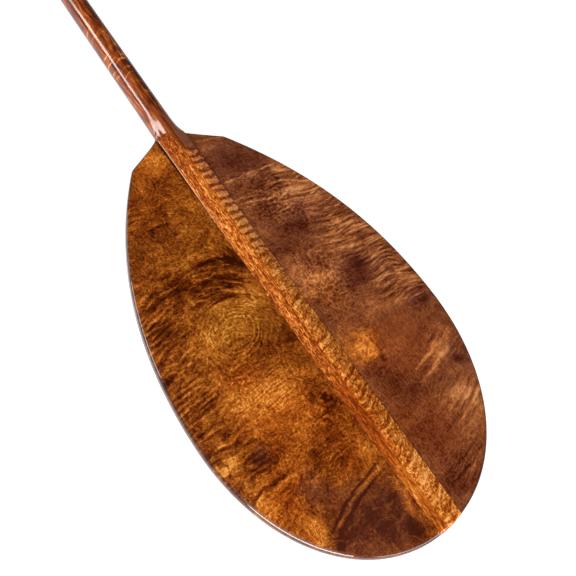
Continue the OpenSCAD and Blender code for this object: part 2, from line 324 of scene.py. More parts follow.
def shaft_ring(s, section):
    return on_shaft(section[:, 1] - AXIS_Z, section[:, 0], s)


def shaft_radius(s):
    if s < TAPER:
        return PARALLEL_R + TAPER_RATE * (TAPER - s)
    return mix(PARALLEL_R, NECK_R, smooth((s - TAPER - PARALLEL) / NECK))


def faceted(s, section):
    """Planes the upper left of the flare towards one long facet that dies out at the spine."""
    depth = 0.86 * float(smooth((36 - s) / 18) * smooth((s - 3.5) / 4))
    y, z = section.T
    over = np.clip(z - FACET_Z - FACET_RATE * y, 0, FACET_CUT)
    return np.c_[y, z - depth * over * (y < 0)]


def bow(x, y):
    """How far the spine's end curves back to follow the tip."""
    return TIP_BOW * y * y * smooth((x - BLADE_L + 70) / 60)


def spine_ring(x, section, z):
    y = section[:, 0]
    return np.c_[x - bow(BLADE_L if np.ndim(x) else x, y) + THROAT_X, y, z]


def tenon_rings():
    end = GRIP_S + GRIP_H
    stations = (                            # distance up the shaft, radius
        (end - 0.02, 0.2), (end - 0.02, TENON_R - 0.5), (end - 0.15, TENON_R - 0.1),
        (end - 0.6, TENON_R), (GRIP_S + 20, TENON_R), (GRIP_S + 0.6, TENON_R),
        (GRIP_S + 0.02, TENON_R), (GRIP_S, TENON_R + 0.3), (GRIP_S, NECK_R - 0.6),
        (GRIP_S - 0.15, NECK_R - 0.15), (GRIP_S - 0.6, NECK_R))
    return [shaft_ring(s, circle(r)) for s, r in stations]


def flare_rings():
    """From the round shaft to the spine section; the top changes earlier than the back."""
    root = spine_section(-ROOT_S)
    is_top = (ANGLES > 3) & (ANGLES < 177)
    rings = []
    for s in np.r_[np.linspace(LOFT_S, 11, 40)[1:], np.linspace(11, 7, 13)[1:],
                   np.linspace(7, ROOT_S, 5)[1:]]:
        top = (0.25 * ((LOFT_S - s) / (LOFT_S - ROOT_S)) ** 2
               + 0.75 * (max(0, FLARE_S - s) / (FLARE_S - ROOT_S)) ** 1.7)
        back = float(smooth((10 - s) / 2.8))
        share = np.where(is_top, top, back)[:, None]
        section = mix(circle(THROAT_R - TAPER_RATE * s), root, share)
        rings.append(shaft_ring(s, faceted(s, section)))
    return rings


def tip_rings():
    """The rounded end of the spine."""
    section = spine_section(BLADE_L)
    y, z = section.T
    top_r, low_r = TIP_EDGE_R, BOTTOM_SHARE * TIP_EDGE_R
    is_back = np.zeros(len(section), bool)
    is_back[N_RIGHT:N_RIGHT + N_BOTTOM] = True
    is_side = np.abs(y) >= SPINE_HALF - 1e-6
    side_top = z[is_side].max()
    share = np.clip(z / side_top, 0, 1)
    radius = np.where(is_back, low_r, np.where(is_side, mix(low_r, top_r, share), top_r))
    rings = []
    for a in np.radians(np.linspace(0, 90, 13)):
        drop, rise = top_r * (1 - math.cos(a)), low_r * (1 - math.cos(a))
        side = mix(rise, side_top - drop, share)
        height = np.where(is_back, rise, np.where(is_side, side, z - drop))
        rings.append(spine_ring(BLADE_L - radius * (1 - math.sin(a)), section, height))
    return rings


def make_shaft():
    rings = tenon_rings()
    for s in np.r_[np.linspace(GRIP_S - 6, NECK_S, 9), np.linspace(NECK_S, TAPER, 28)[1:],
                   np.linspace(TAPER, 60, 40)[1:], np.linspace(60, LOFT_S, 11)[1:]]:
        rings.append(shaft_ring(s, circle(shaft_radius(s))))
    rings += flare_rings()
    for x in np.r_[np.linspace(-3.2, 60, 44), np.linspace(60, BLADE_L - 12, 190)[1:],
                   np.linspace(BLADE_L - 12, BLADE_L - 6.4, 5)[1:]]:
        section = spine_section(x)
        rings.append(spine_ring(x, section, section[:, 1]))
    return loft("shaft_and_spine", rings + tip_rings())


# ---------------------------------------------------------------- grip and joint cutters
def turn(count):
    return np.linspace(0, 2 * math.pi, count, endpoint=False)


def pin_cutter():
    a, r = turn(48), PIN_R + 0.02
    rings = [on_shaft(up, r * np.cos(a), GRIP_S + PIN_S + r * np.sin(a)) for up in (-30, 30)]
    return loft("pin_cut", rings, False)


def round_cutter(name, r, s0, s1):
    """Cylinder on the shaft's axis."""
    a = turn(96)
    return loft(name, [on_shaft(r * np.cos(a), r * np.sin(a), s) for s in (s0, s1)], False)


def kerf_cutter():
    """Wedge-shaped slot down the middle of the tenon."""
    gap, end = 0.05, GRIP_S + GRIP_H
    bottom, low, high = end - KERF_D - gap, 0.4 + gap, WEDGE_T / 2 + gap
    across = np.array([-low, low, high, -high])
    up_shaft = np.array([bottom, bottom, end + 1, end + 1])
    rings = [on_shaft(up, across, up_shaft) for up in (-TENON_R - 1, TENON_R + 1)]
    return loft("kerf_cut", rings, False, caps_first=True)


def make_grip():
    """Superellipse sections (power 2.4) along the handle."""
    a, power = turn(96), 2.4
    shape = (np.abs(np.cos(a)) ** power + np.abs(np.sin(a)) ** power) ** (-1 / power)
    rings = []
    for t in np.sin(np.linspace(-math.pi / 2, math.pi / 2, 121)):
        y = t * GRIP_W / 2
        end = max(0.12, math.sqrt(max(0, 1 - abs(t) ** 5)))
        top = GRIP_S + GRIP_H - 5 * t * t
        low = GRIP_S - 1 + 9 * float(smooth((abs(y) - 12) / 22))
        deep = GRIP_D / 2 * end * (1 - 0.06 * float(smooth((abs(y) - 14) / 24)))
        tall = (top - low) / 2 * end
        rings.append(on_shaft(deep * shape * np.cos(a), y,
                              (top + low) / 2 + tall * shape * np.sin(a)))
    return loft("t_grip_carved", rings)


def crisp(ob, degrees=32):
    """Smooth shading that keeps arrises sharper than the angle."""
    bm = bmesh.new()
    bm.from_mesh(ob.data)
    limit = math.radians(degrees)
    for face in bm.faces:
        face.smooth = True
    for edge in bm.edges:
        edge.smooth = not (len(edge.link_faces) == 2 and edge.calc_face_angle(0) > limit)
    bm.to_mesh(ob.data)
    bm.free()


# ---------------------------------------------------------------- build the bodies
slot_right = spline_slot("slot_r", 1)
slot_left = spline_slot("slot_l", -1)
wing_right = make_wing("wing_right_board", 1, 11)
wing_left = make_wing("wing_left_board", -1, 23)
cut(wing_right, [slot_right])
cut(wing_left, [slot_left])

shaft = make_shaft()
pin_hole, kerf = pin_cutter(), kerf_cutter()
cut(shaft, [slot_right, slot_left, pin_hole, kerf])

grip = make_grip()
seat = round_cutter("seat_cut", 30, GRIP_S - 8, GRIP_S + 0.05)
socket_hole = round_cutter("hole_cut", TENON_R + 0.05, GRIP_S - 20, GRIP_S + GRIP_H + 20)
cut(grip, [seat, socket_hole, pin_hole])

for cutter in (slot_right, slot_left, pin_hole, kerf, seat, socket_hole):
    bpy.data.objects.remove(cutter)
for ob in (wing_right, wing_left, shaft, grip):
    crisp(ob)
for ob, node, slot in ((shaft, "shaft_spine", "spine_wood"),
                       (wing_left, "blade_wing_left", "wing_wood_left"),
                       (wing_right, "blade_wing_right", "wing_wood_right"),
                       (grip, "t_grip", "grip_wood")):
    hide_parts(node)
    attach(ob, "root")


# ---------------------------------------------------------------- node graphs
def srgb(*rgb):
    """Linear RGBA from 0-255 sRGB."""
    return tuple(c / 255 / 12.92 if c <= 10 else ((c / 255 + 0.055) / 1.055) ** 2.4
                 for c in rgb) + (1.0,)


class Value:
    """An output socket, with arithmetic that adds math nodes."""

    def __init__(self, graph, socket):
        self.graph, self.socket = graph, socket

    def __add__(self, other): return self.graph.math("ADD", self, other)
    __radd__ = __add__
    def __sub__(self, other): return self.graph.math("SUBTRACT", self, other)
    def __rsub__(self, other): return self.graph.math("SUBTRACT", other, self)
    def __mul__(self, other): return self.graph.math("MULTIPLY", self, other)
    __rmul__ = __mul__
    def __truediv__(self, other): return self.graph.math("DIVIDE", self, other)


class Graph:
    """Builds the nodes of a material or a world. Lengths are in mm."""

    def __init__(self, block):
        self.block = block
        block.use_nodes = True
        self.tree = block.node_tree
        self.tree.nodes.clear()

    def node(self, kind, sockets={}, **settings):
        node = self.tree.nodes.new("ShaderNode" + kind)
        for key, setting in settings.items():
            setattr(node, key, setting)
        for key, value in sockets.items():
            if isinstance(value, Value):
                self.tree.links.new(value.socket, node.inputs[key])
            else:
                node.inputs[key].default_value = value
        return node

    def value(self, kind, sockets={}, out=0, **settings):
        return Value(self, self.node(kind, sockets, **settings).outputs[out])

    def outputs(self, kind, *names):
        """Several outputs of one input node."""
        node = self.node(kind)
        return [Value(self, node.outputs[name]) for name in names]

    def math(self, op, *values, clamp=False):
        return self.value("Math", dict(enumerate(values)), operation=op, use_clamp=clamp)

    def mul_add(self, a, b, c):
        return self.math("MULTIPLY_ADD", a, b, c)

    def lerp(self, share, a, b):
        return self.mul_add(share, b - a, a)

    def clamp(self, a):
        return self.math("ADD", a, 0.0, clamp=True)

    def layer(self, total, *terms):
        """total plus each (value, amount) in turn."""
        for value, amount in terms:
            total = self.mul_add(value, amount, total)
        return total

    def vec(self, x, y, z):
        return self.value("CombineXYZ", {0: x, 1: y, 2: z})

    def sep(self, vector):
        node = self.node("SeparateXYZ", {0: vector})
        return [Value(self, out) for out in node.outputs]

    def vector(self, op, a, b, out=0):
        return self.value("VectorMath", {0: a, 1: b}, out, operation=op)

    def scaled(self, point, sizes):
        return self.vector("MULTIPLY", point, tuple(1 / s for s in sizes))

    def step(self, start, end, value, top=1.0):
        """Smooth step from 0 at start to top at end; start may be the greater."""
        return self.value("MapRange", {"Value": value, "From Min": start, "From Max": end,
                                       "To Max": top}, interpolation_type="SMOOTHSTEP")

    def noise(self, vector, detail=0.0, rough=0.5, distortion=0.0, out="Fac", sockets={}, **kind):
        return self.value("TexNoise", {"Vector": vector, "Scale": 1.0, "Detail": detail,
                                       "Roughness": rough, "Distortion": distortion, **sockets},
                          out, **kind)

    def warp(self, point, sizes, amount):
        """Random offset vector, up to half of amount each way."""
        color = self.noise(self.scaled(point, sizes), 1.0, out="Color")
        return self.vector("MULTIPLY", self.vector("SUBTRACT", color, (0.5, 0.5, 0.5)), amount)

    def ridged(self, x, y, z, detail=1.0, rough=0.5):
        """Thin bright branching lines on dark, about 0."""
        lines = self.noise(self.vec(x, y, z), detail, rough, noise_type="RIDGED_MULTIFRACTAL",
                           sockets={"Offset": 1.0, "Gain": 1.0})
        return lines - (0.66 + 0.16 * detail)

    def streaks(self, at, long, wide, deep=14.0, detail=1.0, rough=0.55):
        """Noise about 0; long, wide and deep are the feature sizes along the axes of at."""
        parts = [axis / size for axis, size in zip(at, (long, wide, deep))]
        return self.noise(self.vec(*parts), detail, rough) - 0.5

    def two_level(self, noise, width=0.10):
        """Noise about 0 pushed towards -0.5 and 0.5."""
        return self.step(-width, width, noise) - 0.5

    def threads(self, noise, width):
        """Thin lines, 1 where the noise passes through 0."""
        return self.step(width, 0.0, self.math("ABSOLUTE", noise))

    def crests(self, flow, x, y, period, seed, run=26.0, low=0.15, high=0.95, wobble=4.4,
               signs=(1, -1)):
        """Curly figure: thin wavering light (1) and dark (-1) crests that come and go."""
        slow = self.noise(self.vec(x / 34.0 + seed, y / 40.0, 3.0))
        quick = self.noise(self.vec(x / 10.0 + seed, y / 9.0, 9.0), 1.0)
        phase = self.layer(flow, (slow, 18.0), (quick, wobble))
        wave = self.math("SINE", phase * (2 * math.pi / period))
        on = self.step(0.41, 0.58, self.noise(self.vec(flow / 7.0, y / run + seed, 5.0), 1.0))
        return [self.step(sign * low, sign * high, wave) * on for sign in signs]

    def distance(self, x, y, center_x, center_y):
        offset = self.vector("SUBTRACT", self.vec(x, y, 0.0), (center_x, center_y, 0))
        return self.value("VectorMath", {0: offset}, "Value", operation="LENGTH")

    def blob(self, point, x, y, reach_x, reach_y, degrees=0.0):
        """A soft spot, 1 at (x, y) and 0 at its rim."""
        local = self.value("Mapping", {
            "Vector": point, "Location": (x, y, 0), "Rotation": (0, 0, math.radians(degrees)),
            "Scale": (reach_x, reach_y, 1e6)}, vector_type="TEXTURE")
        return self.step(0, 1, self.value("TexGradient", {0: local}, 1,
                                          gradient_type="SPHERICAL"))

    def blobs(self, point, table, start=0.0):
        """Sum of spots; columns: x, y, reach x, reach y, degrees, amount."""
        return self.layer(start, *((self.blob(point, *row[:5]), row[5]) for row in table))

    def mask(self, point, table, start=0.0):
        return self.clamp(self.blobs(point, table, start))

    def line(self, x, y, width, y0, y1, offset, slope=0.0, curve=0.0, y_ref=0.0):
        """Soft line between y0 and y1 at x = offset + slope d + curve d^2, d = y - y_ref."""
        d = y - y_ref
        path = self.mul_add(self.mul_add(d, curve, slope) if curve else d,
                            d if curve else slope, offset)
        near = self.step(width, 0.0, self.math("ABSOLUTE", x - path))
        fade = min(14.0, abs(y1 - y0) / 3)
        return near * (self.step(y0, y0 + fade, y) * self.step(y1, y1 - fade, y))

    def lines(self, total, x, y, table):
        """Adds lines; columns: amount, then width to y_ref as in line()."""
        return self.layer(total, *((self.line(x, y, *row[1:]), row[0]) for row in table))

    def ramp(self, share, stops):
        """Colour ramp; each stop is a position and its sRGB colour."""
        node = self.node("ValToRGB", {0: share})
        elements = node.color_ramp.elements
        while len(elements) < len(stops):
            elements.new(0.5)
        for element, (position, *rgb) in zip(elements, stops):
            element.position, element.color = position, srgb(*rgb)
        return Value(self, node.outputs[0])

    def mix(self, share, a, b, mode="MIX"):
        return self.value("Mix", {0: share, 6: a, 7: b}, 2, data_type="RGBA", blend_type=mode,
                          clamp_factor=True)

    def tint(self, color, share, *rgb):
        """Multiplies by linear factors."""
        return self.mix(share, color, rgb + (1,), "MULTIPLY")

    def stain(self, color, share, *rgb):
        """Covers with an sRGB colour."""
        return self.mix(share, color, srgb(*rgb))

    def point(self):
        """Position in mm from the throat: x along the blade, y across, z up."""
        (position,) = self.outputs("TexCoord", "Object")
        return self.vector("ADD", self.vector("MULTIPLY", position, (1000, 1000, 1000)),
                           (-THROAT_X, 0, 0))

    def finish(self, shader, kind="OutputMaterial"):
        self.node(kind, {0: shader})
        return self.block


def new_material(name):
    return Graph(bpy.data.materials.new(name))


# ---------------------------------------------------------------- lacquer
WOOD_BRIGHTNESS = 0.82


def lacquered(mat, color, fleck, figure, coat=1.0, haze=0.015):
    """Wood under a clear coat; haze is the least roughness of the coat."""
    point = mat.point()
    wave = mat.noise(mat.scaled(point, (9, 9, 9)), 1.0)
    peel = mat.noise(mat.scaled(point, (1.6, 1.6, 1.6)))
    color = mat.tint(color, 1.0, *[WOOD_BRIGHTNESS] * 3)
    # the blade's flats keep their colour at a grazing view instead of turning into a mirror
    normal, incoming = mat.outputs("NewGeometry", "Normal", "Incoming")
    facing = mat.vector("DOT_PRODUCT", normal, incoming, "Value")
    flat = mat.step(0.80, 0.97, mat.sep(normal)[2]) * mat.step(-12, -2, mat.sep(point)[0])
    keep = 1.0 - flat * mat.step(0.62, 0.28, facing) * 0.97

    def bump(height, depth):
        return mat.value("Bump", {"Height": height, "Strength": 1.0, "Distance": depth * MM})

    return mat.finish(mat.value("BsdfPrincipled", {
        "Base Color": color,
        "Roughness": mat.mul_add(fleck, 0.2, 0.5),
        "Specular IOR Level": keep * 0.05,
        "Coat Weight": keep * coat,
        "Coat Roughness": mat.mul_add(wave, 0.05, haze),
        "Coat IOR": 1.5,
        "Normal": bump(mat.mul_add(fleck, 0.5, figure), 0.10),
        "Coat Normal": bump(mat.mul_add(peel, 0.10, wave), 0.05),
    }))


# ---------------------------------------------------------------- wing boards
def board(name, shift):
    """Shared start of a wing: graph, shifted point, (x, y, z), warped point, bent x and y."""
    mat = new_material(name)
    point = mat.point()
    shifted = mat.vector("ADD", point, shift)
    broad = mat.warp(shifted, (46, 46, 40), (24, 24, 0))
    close = mat.warp(shifted, (13, 13, 20), (7, 7, 0))
    warped = mat.vector("ADD", point, mat.vector("ADD", broad, close))
    bent = mat.vector("ADD", point, mat.vector("MULTIPLY", close, (0.7, 0.7, 0)))
    return mat, shifted, mat.sep(point), warped, mat.sep(bent)[:2]


def fibre(mat, along, across, shifted, patch, turned, less):
    """Short flecks along the figure, or across it in patches of the given sizes."""
    choice = mat.noise(mat.scaled(shifted, patch)) + turned - less
    lengthwise = mat.ridged(*along, rough=0.7)
    crosswise = mat.ridged(*across, rough=0.7)
    return mat.lerp(mat.step(0.56, 0.44, choice), lengthwise, crosswise)


def rim_shade(mat, z, color):
    """Darkens the rounded rim: painted shade of the rounded-over edge."""
    rim = mat.step(9.98, 9.3, z) * mat.step(0.2, 2.5, z)
    return mat.stain(color, rim * 0.72, 40, 16, 6)


# Spot tables, see Graph.blobs
LEFT_TONE = [
    (16, -34, 30, 26, 0, 0.34), (36, -56, 30, 20, 0, 0.10), (60, -66, 60, 40, 0, -0.07),
    (66, -72, 22, 18, 0, 0.12), (80, -24, 34, 16, 0, 0.22), (92, -46, 26, 20, 0, 0.10),
    (112, -24, 26, 12, 0, 0.12), (150, -40, 26, 54, 12, -0.28), (152, -24, 24, 20, 0, -0.12),
    (150, -92, 26, 46, -8, -0.26), (174, -126, 30, 26, 0, -0.20), (196, -62, 36, 44, 0, 0.30),
    (204, -92, 34, 36, 0, 0.18), (186, -28, 24, 26, 0, 0.28), (228, -116, 36, 30, 0, 0.14),
    (232, -30, 20, 26, 0, -0.22), (210, -142, 30, 14, 0, -0.14), (258, -102, 34, 34, 0, 0.16),
    (266, -72, 34, 50, 0, 0.38), (272, -34, 20, 24, 0, 0.16), (292, -92, 22, 40, 0, 0.16),
    (306, -62, 26, 26, 0, 0.14), (303, -27, 13, 14, 0, -0.34), (293, -40, 9, 9, 0, -0.30),
    (313, -36, 8, 8, 0, -0.22), (310, -112, 16, 20, 0, -0.30), (331, -98, 16, 26, 0, 0.30),
    (310, -140, 34, 14, 0, 0.14), (336, -70, 20, 26, 0, -0.10), (352, -28, 34, 18, 0, 0.20),
    (350, -134, 30, 20, -30, 0.34), (356, -84, 24, 36, 0, -0.12), (384, -112, 13, 18, -40, 0.42),
    (402, -58, 38, 60, -20, -0.31), (425, -60, 34, 66, 0, -0.18), (412, -22, 24, 9, 0, 0.44),
    (432, -34, 18, 16, 0, -0.24), (398, -94, 20, 22, -40, -0.22)]
LEFT_CURL = [
    (148, -60, 44, 96, 0, 1.3), (75, -20, 40, 14, 0, 0.3), (330, -60, 40, 90, 0, 0.5),
    (395, -70, 40, 60, 0, 0.4), (60, -84, 30, 30, 0, 0.7)]
LEFT_NET = [
    (150, -50, 30, 50, 0, 0.8), (250, -75, 36, 40, 0, 0.55), (340, -110, 40, 40, 0, 0.4),
    (400, -60, 30, 60, 0, 0.5)]
LEFT_OLIVE = [
    (196, -60, 50, 60, 0, 1.0), (215, -30, 40, 30, 0, 0.7), (110, -60, 60, 60, 0, 0.3)]
LEFT_RED = [
    (240, -88, 22, 30, 0, 0.9), (290, -70, 56, 80, 0, 0.9), (330, -40, 40, 40, 0, 0.5),
    (20, -40, 40, 40, 0, 0.7), (60, -70, 40, 40, 0, 0.3), (355, -50, 30, 40, 0, 0.5),
    (352, -116, 60, 40, -30, 0.9), (412, -22, 26, 12, 0, 1.0)]
# spots where the left wing turns greyer brown: painted reflection haze
LEFT_HAZE_SPOTS = [
    (356, -92, 26, 22, 0, 0.9), (305, -112, 14, 16, 0, 0.7), (412, -62, 48, 70, 0, 1.5),
    (372, -70, 20, 50, 0, 0.5)]
LEFT_LINES = [                              # see Graph.lines
    (-0.30, 2.2, -84, -42, 172, 0.0, 0.010, -64), (0.16, 2.0, -84, -42, 175.2, 0.0, 0.010, -64),
    (-0.26, 2.0, -92, -44, 212, 0.0, 0.013, -70), (-0.16, 1.8, -88, -48, 219, 0.02, 0.006, -70),
    (-0.22, 3.6, -145, -88, 331, 0.0, 0.0, -60), (0.20, 3.0, -145, -80, 336.5, 0.02, 0.0, -60),
    (-0.36, 2.2, -102, -18, 371, -0.10, 0.0022, -25),
    (0.22, 2.2, -102, -18, 374.8, -0.10, 0.0022, -25),
    (-0.34, 2.2, -98, -20, 379, -0.10, 0.0022, -25),
    (-0.26, 3.0, -62, -17, 133, 0.02, 0.010, -50), (-0.2, 2.5, -70, -17, 163, -0.02, 0.006, -60),
    (0.20, 2.0, -84, -50, 78, 0.1, 0.010, -66), (-0.18, 2.0, -84, -50, 81, 0.1, 0.010, -66)]
LEFT_KNOTS = ((300, -28, 15, 0.17), (312, -40, 10, 0.14), (291, -42, 9, 0.13))  # x, y, r, amount


def left_board():
    mat, shifted, (x, y, z), warped, (bent_x, bent_y) = board("koa_left", (0, 0, 0))
    tone = mat.blobs(warped, LEFT_TONE, 0.384)

    # flow: the figure runs along its level lines, arched mid-board and flat near the rim
    dy = y + 68
    arched = mat.step(95, 150, x) * mat.step(300, 235, x)
    arch = mat.lerp(mat.step(-92, -48, y), 0.0016, 0.0112)
    flow = bent_x - arch * dy * dy * arched
    flow = flow - dy * dy * -0.0022 * mat.step(330, 372, x) * -1
    at_flow = (flow, bent_y, z)
    curl = mat.streaks(at_flow, 5.0, 34.0)
    broad = mat.streaks(at_flow, 13.0, 60.0)
    rim = mat.step(-88, -126, y) * mat.step(96, 140, x) * mat.step(396, 330, x)
    curly = mat.math("MAXIMUM", rim, mat.mask(warped, LEFT_CURL, 0.12))
    rim_light, rim_dark = mat.crests(flow, x, bent_y, 6.4, seed=0.0, run=24.0, low=0.2,
                                     wobble=2.0)
    wander = mat.mul_add(mat.noise(mat.vec(x / 30.0, y / 34.0, 8.0), 1.0), 16.0, flow)
    veins = mat.ridged(wander / 8.0, bent_y / 34.0, 3.0)
    arc_light, arc_dark = mat.crests(flow, x, bent_y, 9.5, seed=7.0, run=44.0)
    arcs = mat.blob(warped, 150, -62, 46, 100)

    # mottle: clouds, and a close net of light and dark
    mottle = mat.streaks((x + 11, y, z), 9.0, 9.0, detail=2.0, rough=0.62)
    net_on = mat.lerp(mat.mask(warped, LEFT_NET), 1.0, 0.35)
    net = mat.ridged(bent_x / 4.4, bent_y / 4.4, z / 9.0, detail=2.0, rough=0.6)
    oval_x, oval_y = bent_x - 206.0, (bent_y + 68.0) * 0.72
    oval = mat.math("SQRT", mat.mul_add(oval_x, oval_x, oval_y * oval_y))
    oval_light, oval_dark = mat.crests(oval, x, bent_y, 4.2, seed=17.0, run=40.0, low=0.0,
                                       high=0.8, wobble=3.0)
    ovals = mat.clamp(mat.blob(warped, 210, -66, 66, 60)
                      + mat.blob(warped, 268, -74, 40, 44) * 0.8)
    clouds = mat.streaks((x, y - 30, z), 26.0, 24.0, detail=2.0, rough=0.6)

    def wisps(long, wide, layer, middle):
        at = mat.vec(bent_x / long, bent_y / wide, layer)
        return mat.threads(mat.noise(at, 2.0, distortion=0.6) - middle, 0.030)

    tone = mat.layer(
        tone, (curl * curly, 0.46), (broad * curly, 0.72),
        (rim_light * rim, 0.22), (rim_dark * rim, -0.13),
        (mat.step(0.12, 0.50, veins) * curly, 0.15), (veins * curly, 0.10),
        (arc_light * arcs, 0.22), (arc_dark * arcs, -0.10),
        (mottle, 0.36), (net * net_on, 0.10),
        (oval_light * ovals, 0.20), (oval_dark * ovals, -0.15), (clouds, 0.50),
        (wisps(17.0, 22.0, 3.3, 0.5), 0.17), (wisps(15.0, 20.0, 13.3, 0.48), -0.17))
    tone = mat.lines(tone, bent_x, y, LEFT_LINES)

    # ringed eye, then swirled knots by the spine
    eye = mat.distance(bent_x, bent_y, 85, -76)
    rings = mat.math("SINE", eye * 1.35) * mat.step(12, 4, eye)
    tone = mat.layer(tone, (rings, 0.09), (mat.step(3.6, 0.8, eye), -0.22),
                     (mat.step(13.0, 3.0, eye), -0.10))
    for knot_x, knot_y, size, amount in LEFT_KNOTS:
        knot = mat.distance(mat.mul_add(mottle, 14.0, bent_x), mat.mul_add(curl, 9.0, bent_y),
                            knot_x, knot_y)
        swirl = mat.math("SINE", knot * 1.15) * mat.step(size, size * 0.35, knot)
        tone = mat.mul_add(swirl, amount, tone)

    fleck = fibre(mat, (flow / 2.4, bent_y / 6.5, z / 3.0),
                  (bent_x / 6.5, bent_y / 2.2, z / 3.0 + 7.0),
                  shifted, (20, 15, 20), curly * 0.3, 0.14)
    strength = mat.mul_add(mat.step(0.05, 0.5, tone), 0.55, 0.45)
    grit = mat.streaks(at_flow, 1.0, 1.9, 2.0, detail=0.0)
    thin = mat.threads(mat.streaks((flow, bent_y + 70, z), 6.5, 46.0), 0.04)
    tone = mat.clamp(mat.layer(tone, (fleck * strength, 0.20), (grit * strength, 0.64),
                               (thin * curly, -0.16)))
    color = mat.ramp(tone, [
        (0.0, 50, 14, 0), (0.06, 66, 21, 0), (0.18, 88, 34, 3), (0.32, 109, 49, 8),
        (0.46, 131, 65, 14), (0.61, 155, 82, 20), (0.82, 186, 108, 34), (1.0, 220, 150, 70)])
    color = mat.tint(color, mat.mask(warped, LEFT_OLIVE) * 0.8, 0.93, 1.06, 1.0)
    color = mat.tint(color, mat.mask(warped, LEFT_RED) * 0.85, 1.14, 0.90, 0.70)
    # dark strip on the wing beside the spine near the throat: dark glue line plus painted shade
    # of the crevice
    joint_glue_and_shade = mat.step(-17.8, -16.6, y) * mat.step(70, 16, x)
    color = mat.stain(color, joint_glue_and_shade * 0.85, 24, 9, 3)
    color = rim_shade(mat, z, color)
    # greyer brown over the haze spots: painted reflection haze of the lacquer
    brown = mat.mix(tone, srgb(78, 33, 20), srgb(150, 88, 52))
    color = mat.mix(mat.mask(warped, LEFT_HAZE_SPOTS) * 0.62, color, brown)
    return lacquered(mat, color, fleck, curl)


RIGHT_TONE = [
    (24, 34, 26, 24, 0, 0.02), (46, 40, 32, 34, 0, -0.24), (20, 22, 16, 12, 0, 0.16),
    (68, 86, 22, 20, 20, 0.34), (70, 26, 12, 12, 0, 0.16), (80, 66, 20, 26, 0, -0.10),
    (92, 26, 14, 14, 0, 0.22), (84, 46, 14, 16, 0, -0.16), (108, 44, 16, 20, 0, -0.26),
    (104, 84, 20, 24, 20, 0.20), (122, 96, 14, 26, 20, 0.20), (116, 70, 14, 20, 0, 0.14),
    (132, 26, 14, 14, 0, 0.16), (140, 60, 20, 34, 0, -0.26), (156, 30, 14, 20, 0, -0.10),
    (140, 110, 18, 26, 0, -0.10), (160, 110, 10, 26, 0, 0.20), (176, 26, 20, 16, 0, 0.20),
    (170, 80, 20, 24, 0, 0.06), (172, 114, 20, 22, 0, 0.08), (198, 34, 26, 34, 0, 0.28),
    (204, 56, 20, 24, 0, 0.22), (210, 92, 24, 26, 10, -0.30), (200, 124, 14, 22, 0, 0.20),
    (222, 78, 14, 26, 0, -0.12), (232, 44, 18, 30, 0, 0.02), (240, 126, 26, 22, 0, 0.12),
    (252, 74, 24, 24, 0, 0.12), (240, 24, 14, 12, 0, -0.06), (268, 130, 16, 24, 0, -0.42),
    (277, 34, 24, 30, 0, 0.36), (288, 45, 12, 12, 0, 0.24), (264, 36, 24, 34, 0, 0.20),
    (262, 72, 30, 30, -30, 0.12), (298, 50, 6, 7, 0, -0.40), (303, 30, 14, 16, 0, -0.14),
    (282, 92, 30, 36, 0, 0.06), (316, 38, 30, 24, 0, -0.22), (330, 104, 16, 36, -16, 0.26),
    (312, 130, 16, 18, 0, 0.16), (344, 60, 20, 26, 0, -0.16), (346, 32, 24, 20, 0, -0.18),
    (346, 122, 12, 18, -16, -0.34), (372, 90, 16, 34, -16, 0.14), (384, 112, 18, 22, -30, 0.12),
    (376, 34, 30, 24, 0, -0.14), (404, 36, 20, 24, 0, -0.06), (400, 88, 20, 24, -20, 0.14),
    (420, 60, 18, 44, -20, -0.18), (434, 36, 18, 50, -12, -0.32)]
RIGHT_CURL = [
    (98, 84, 50, 56, 0, 1.3), (180, 122, 96, 56, 0, 1.8), (248, 128, 30, 56, 0, 1.6),
    (328, 112, 26, 60, 0, 1.2), (380, 98, 24, 60, 0, 1.2), (98, 36, 12, 30, 0, 1.0),
    (430, 60, 26, 60, 0, 0.8), (66, 50, 9, 56, 0, 1.0), (170, 80, 40, 40, 0, 0.5)]
RIGHT_CALM = [
    (284, 90, 40, 44, 0, 1.1), (46, 44, 30, 34, 0, 0.8), (210, 92, 26, 30, 0, 0.8),
    (140, 58, 22, 30, 0, 0.6), (340, 50, 40, 34, 0, 0.4)]
RIGHT_MOTTLE = [(202, 48, 50, 50, 0, 1.2), (105, 60, 60, 50, 0, 0.9), (278, 42, 26, 30, 0, 1.0)]
RIGHT_GOLD = [
    (278, 40, 34, 40, 0, 1.6), (262, 30, 26, 20, 0, 0.4), (215, 40, 40, 40, 0, 0.5),
    (350, 28, 50, 20, 0, 0.5)]
# spots where the right wing is tinted bluer: painted reflection haze
RIGHT_COOL_HAZE = [
    (44, 50, 50, 50, 0, 1.2), (212, 94, 34, 50, 0, 0.9), (130, 70, 40, 60, 0, 0.6),
    (268, 130, 22, 30, 0, 1.3), (346, 126, 24, 30, 0, 1.2)]
RIGHT_RED = [(300, 80, 60, 70, 0, 1.0), (380, 50, 60, 50, 0, 0.8)]
RIGHT_LINES = [
    (0.30, 1.8, 32, 96, 66.5, 0.0, 0.0, 40), (0.34, 2.2, 24, 56, 96, 0.06, 0.004, 30),
    (0.24, 1.8, 22, 60, 12.5, 0.12, 0.0, 30), (-0.24, 2.4, 18, 90, 418, 0.0, -0.004, 40),
    (-0.20, 2.0, 20, 84, 427, 0.0, -0.0045, 40), (0.18, 2.6, 78, 150, 232, 0.06, 0.0, 110),
    (0.20, 2.6, 80, 150, 240, 0.10, 0.0, 110), (0.20, 3.0, 84, 148, 250, 0.07, 0.0, 110),
    (0.22, 3.4, 66, 148, 322, -0.22, 0.0, 100), (0.18, 3.0, 60, 146, 333, -0.20, 0.0, 100),
    (0.20, 3.2, 58, 130, 377, -0.24, 0.0, 96), (0.22, 3.6, 66, 132, 386, -0.28, 0.0, 96),
    (0.16, 3.0, 70, 132, 368, -0.26, 0.0, 96)]


